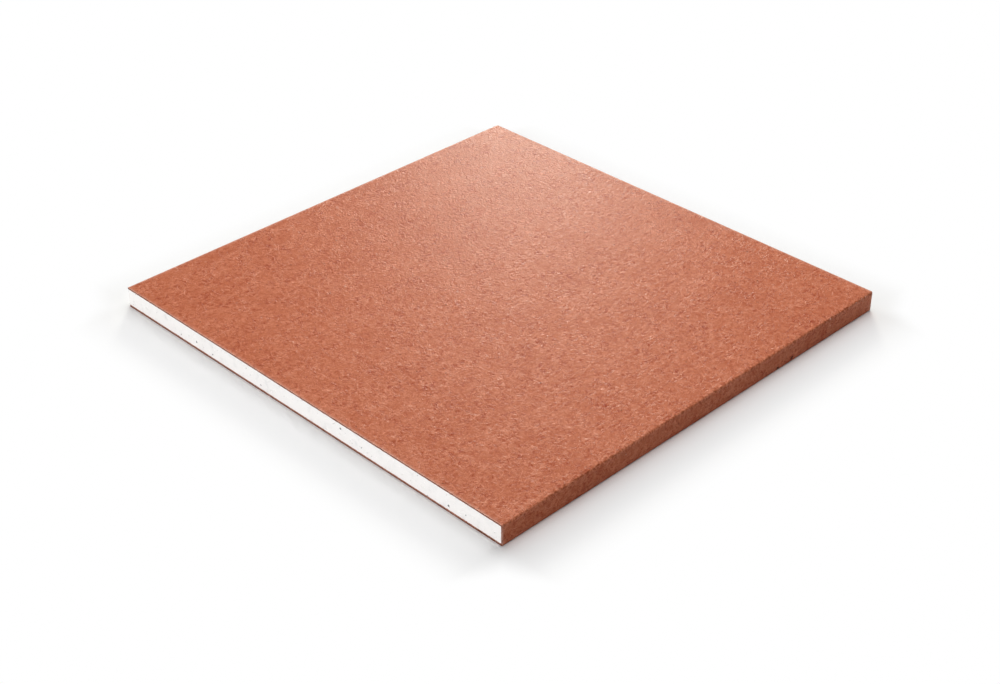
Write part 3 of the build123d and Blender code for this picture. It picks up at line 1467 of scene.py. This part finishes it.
# Lamps: azimuth and elevation in degrees as seen from the board, distance, width, height,
# and the share of that level that the lamp gives a level face
LAMPS = {
    "back_strip": (133.3, 14.5, 3.0, 0.5, 0.8, 0.130),
    "back_softbox": (135.0, 52.0, 2.4, 1.4, 1.0, 0.168),
    "right_softbox": (91.0, 71.0, 1.0, 0.55, 0.5, 0.264),
    "top_softbox": (-45.0, 80.0, 1.0, 0.5, 0.5, 0.301),
    "left_softbox": (-160.0, 30.0, 1.4, 0.8, 0.5, 0.063),
    "end_strip": (-86.0, 6.0, 2.0, 0.8, 0.2, 0.055),
}
# The low strip behind the board is a little warmer than the rest
LAMP_COLOURS = {"back_strip": (1.0, 0.99, 0.88)}


def direction(azimuth, elevation):
    """The unit vector from the board towards a place seen at these angles, as the camera's are counted."""
    return Vector(
        (
            math.sin(azimuth) * math.cos(elevation),
            -math.cos(azimuth) * math.cos(elevation),
            math.sin(elevation),
        )
    )


def add_camera():
    """The camera, at the angle and framing of the photograph."""
    camera = bpy.data.cameras.new("camera")
    camera.lens = CAMERA_LENS
    camera.clip_start = 0.01
    holder = bpy.data.objects.new("camera", camera)
    bpy.context.collection.objects.link(holder)
    back = direction(CAMERA_AZIMUTH, CAMERA_ELEVATION)
    right = Vector((math.cos(CAMERA_AZIMUTH), math.sin(CAMERA_AZIMUTH), 0.0))
    up = back.cross(right)
    holder.location = CAMERA_DISTANCE * back + CAMERA_RIGHT * right + CAMERA_UP * up
    holder.rotation_euler = back.to_track_quat("Z", "Y").to_euler()
    bpy.context.scene.camera = holder


def add_lamp(name, azimuth, elevation, distance, width, height, share):
    """A soft lamp that gives a level surface that share of the light."""
    lamp = bpy.data.lights.new(name, "AREA")
    lamp.shape = "RECTANGLE"
    lamp.size = width
    lamp.size_y = height
    towards = direction(math.radians(azimuth), math.radians(elevation))
    lamp.energy = share * (math.pi * distance) ** 2 / towards.z
    lamp.color = LAMP_COLOURS.get(name, (1.0, 1.0, 1.0))
    holder = bpy.data.objects.new(name, lamp)
    bpy.context.collection.objects.link(holder)
    holder.location = distance * towards
    holder.rotation_euler = towards.to_track_quat("Z", "Y").to_euler()
    holder.visible_camera = False


def seen_directly(tree):
    """1 for what the camera, a mirror or a glass shows, and 0 for light that falls on the object."""
    path = add_node(tree, "ShaderNodeLightPath")
    seen = maths(tree, "MAXIMUM", path.outputs["Is Camera Ray"], path.outputs["Is Glossy Ray"])
    return maths(tree, "MAXIMUM", seen, path.outputs["Is Transmission Ray"])


def add_surroundings():
    """A white world to look at, and a dimmer even light from it."""
    world = bpy.data.worlds.new("studio")
    world.use_nodes = True
    bpy.context.scene.world = world
    tree = world.node_tree
    background = tree.nodes["Background"]
    background.inputs["Color"].default_value = (1.0, 1.0, 1.0, 1.0)
    feed(tree, background.inputs["Strength"], spread(tree, seen_directly(tree), SURROUNDINGS, 1.0))


def gap_from_board(tree, place):
    """Distance over the floor from the board, which counts for more off its corners."""
    beyond = vector_maths(tree, "SUBTRACT", vector_maths(tree, "ABSOLUTE", place), (END_X, SAWN_EDGE, 0.0))
    beyond = vector_maths(tree, "MAXIMUM", beyond, (0.0, 0.0, 0.0))
    gap = add_node(tree, "ShaderNodeVectorMath", operation="LENGTH")
    feed(tree, gap.inputs["Vector"], beyond)
    sides = split(tree, beyond)
    corner = maths(tree, "MINIMUM", sides["X"], sides["Y"])
    return maths(tree, "MULTIPLY_ADD", corner, CORNER_WEIGHT, gap.outputs["Value"])


def floor_material(colour):
    """A matt floor that takes the board's shadow and glows plain white to the camera from just beside the
    board, which paints light over the outer part of that shadow.
    """
    material, tree, shader = new_material("floor")
    shader.inputs["Base Color"].default_value = opaque(colour)
    shader.inputs["Roughness"].default_value = 1.0
    shader.inputs["Specular IOR Level"].default_value = 0.0
    # Painted light: a white glow blended over the floor from 1 mm off the board, lightening the outer part
    # of its shadow
    far = fade(tree, gap_from_board(tree, object_place(tree)), WHITE_FROM, WHITE_AT)
    white = add_node(tree, "ShaderNodeEmission")
    blend = add_node(tree, "ShaderNodeMixShader")
    feed(tree, blend.inputs["Fac"], maths(tree, "MULTIPLY", far, seen_directly(tree)))
    feed(tree, blend.inputs[1], shader.outputs["BSDF"])
    feed(tree, blend.inputs[2], white.outputs["Emission"])
    feed(tree, tree.nodes["Material Output"].inputs["Surface"], blend.outputs["Shader"])
    return material


def add_floor(colour):
    """A plain pale floor."""
    half = FLOOR_SIZE / 2
    corners = [(-half, -half, 0.0), (half, -half, 0.0), (half, half, 0.0), (-half, half, 0.0)]
    floor = add_piece("floor", corners, [(0, 1, 2, 3)], (floor_material(colour),))


# Operators

class DRYWALL_OT_stage(bpy.types.Operator):
    """Add the floor, the lamps and the camera"""

    bl_idname = "drywall.stage"
    bl_label = "Add stage"

    def execute(self, context):
        add_floor(context.scene.drywall_colours.floor)
        add_surroundings()
        for name, values in LAMPS.items():
            add_lamp(name, *values)
        add_camera()
        context.scene.view_settings.view_transform = "Standard"
        return {"FINISHED"}


class DRYWALL_OT_core(bpy.types.Operator):
    """Build the gypsum core with its pitted sawn faces"""

    bl_idname = "drywall.core"
    bl_label = "Build gypsum core"

    def execute(self, context):
        sizes, colours = context.scene.drywall_sizes, context.scene.drywall_colours
        piece = core_piece("gypsum_core_slab", sizes, gypsum_material(colours))
        finish_piece(piece, "gypsum_core")
        return {"FINISHED"}


class DRYWALL_OT_grains(bpy.types.Operator):
    """Set dark grains into the sawn gypsum"""

    bl_idname = "drywall.grains"
    bl_label = "Set core grains"

    def execute(self, context):
        sizes, colours = context.scene.drywall_sizes, context.scene.drywall_colours
        material = lump_material("dark_grain", colours.grain, colours.gypsum_shade)
        finish_piece(grain_piece("core_grains", sizes, material))
        return {"FINISHED"}


class DRYWALL_OT_papers(bpy.types.Operator):
    """Wrap the face paper round the factory edge and lay the back paper"""

    bl_idname = "drywall.papers"
    bl_label = "Lay papers"

    def execute(self, context):
        sizes, colours = context.scene.drywall_sizes, context.scene.drywall_colours
        groups = shared_groups()
        cut = cut_paper_material(colours, groups)
        face = paper_material("face_paper", colours.face_paper, colours, groups)
        back = paper_material("back_paper", colours.back_paper, colours, groups)
        sheet = sheet_piece("face_paper_sheet", face_path(sizes), FACE_THICKNESS, sizes, (face, cut))
        finish_piece(sheet, "face_paper")
        sheet = sheet_piece("back_paper_sheet", back_path(), BACK_THICKNESS, sizes, (back, cut))
        finish_piece(sheet, "back_paper")
        return {"FINISHED"}


class DRYWALL_OT_fibres(bpy.types.Operator):
    """Press loose fibres, long hairs and specks of bark on to the face paper"""

    bl_idname = "drywall.fibres"
    bl_label = "Lay fibres and specks"

    def execute(self, context):
        sizes, colours = context.scene.drywall_sizes, context.scene.drywall_colours
        path = face_path(sizes)
        piece = fibre_piece("face_paper_fibres", path, sizes, fibre_material(colours))
        finish_piece(piece, sharp=FIBRE_SHARP)
        material = lump_material("bark_speck", colours.bark, colours.cut_paper)
        piece = speck_piece("face_paper_specks", path, speck_places(path, sizes), sizes, material)
        finish_piece(piece)
        material = lump_material("pale_fleck", colours.worn_paper_and_highlight, colours.gypsum)
        piece = speck_piece("face_paper_flecks", path, edge_places(path, EDGE_FLECKS), sizes, material)
        finish_piece(piece)
        return {"FINISHED"}


class DRYWALL_PT_panel(bpy.types.Panel):
    """The board's sizes, colours and pieces"""

    bl_idname = "DRYWALL_PT_panel"
    bl_label = "Drywall sheet"
    bl_space_type = "VIEW_3D"
    bl_region_type = "UI"
    bl_category = "Drywall"

    def draw(self, context):
        layout = self.layout
        for operator in OPERATORS:
            layout.operator(operator.bl_idname)
        for group in (context.scene.drywall_sizes, context.scene.drywall_colours):
            column = layout.column()
            for name in group.__annotations__:
                column.prop(group, name)


OPERATORS = (
    DRYWALL_OT_stage,
    DRYWALL_OT_core,
    DRYWALL_OT_grains,
    DRYWALL_OT_papers,
    DRYWALL_OT_fibres,
)
CLASSES = (DRYWALL_PG_sizes, DRYWALL_PG_colours, *OPERATORS, DRYWALL_PT_panel)


def register():
    """Adds the classes and the scene's properties."""
    for kind in CLASSES:
        bpy.utils.register_class(kind)
    bpy.types.Scene.drywall_sizes = bpy.props.PointerProperty(type=DRYWALL_PG_sizes)
    bpy.types.Scene.drywall_colours = bpy.props.PointerProperty(type=DRYWALL_PG_colours)


def unregister():
    """Takes them away again."""
    del bpy.types.Scene.drywall_colours
    del bpy.types.Scene.drywall_sizes
    for kind in reversed(CLASSES):
        bpy.utils.unregister_class(kind)


def main():
    """Builds the whole scene."""
    register()
    bpy.ops.drywall.stage()
    bpy.ops.drywall.core()
    bpy.ops.drywall.grains()
    bpy.ops.drywall.papers()
    bpy.ops.drywall.fibres()


if __name__ == "__main__":
    main()
